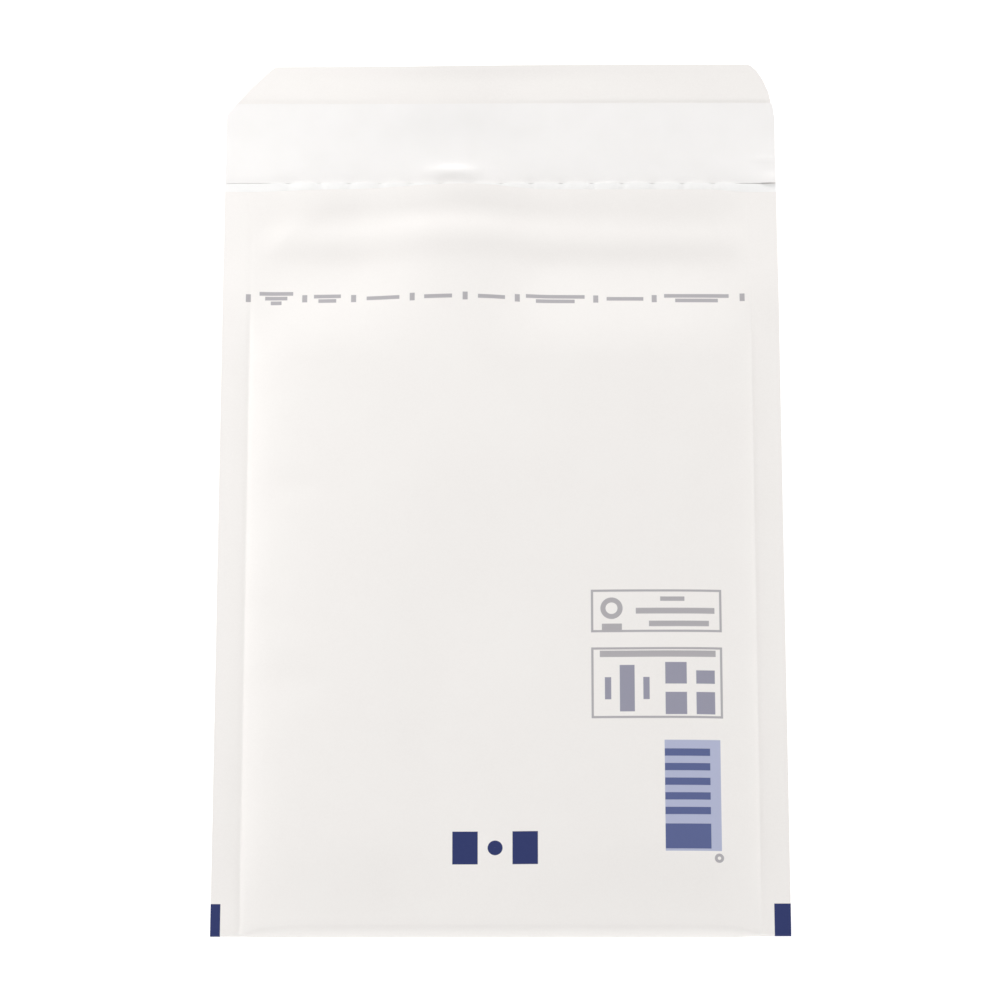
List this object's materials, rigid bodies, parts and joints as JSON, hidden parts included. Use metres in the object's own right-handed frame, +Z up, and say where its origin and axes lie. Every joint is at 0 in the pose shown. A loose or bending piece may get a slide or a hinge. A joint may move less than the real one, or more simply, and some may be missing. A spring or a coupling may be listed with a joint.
{
  "type": "padded envelope",
  "caption": "Flat paper mailer lined with bubble film, welded along both sides, with an open flap that carries a covered adhesive band.",
  "frame": {"origin": "centre of the bounding box's footprint, on the surface that the envelope lies on", "axes": "+Y along the envelope from its bottom fold to the flap's free edge, +X across it to the right as its printed front is read, +Z up out of the front"},
  "size_m": [0.2, 0.325, 0.0118],
  "materials": {
    "outer_paper": "matte white kraft paper, printed in dark blue and grey",
    "back_liner": "clear bubble film, cloudy where it lies on the paper",
    "front_liner": "clear bubble film, cloudy where it lies on the paper",
    "adhesive_strip": "tacky pale hot-melt adhesive",
    "release_strip": "smooth white silicone-coated paper"
  },
  "bodies": {
    "root": {"outer_paper": "outer_paper", "back_liner": "back_liner", "front_liner": "front_liner", "adhesive_strip": "adhesive_strip", "release_strip": "release_strip"}
  },
  "joints": []
}
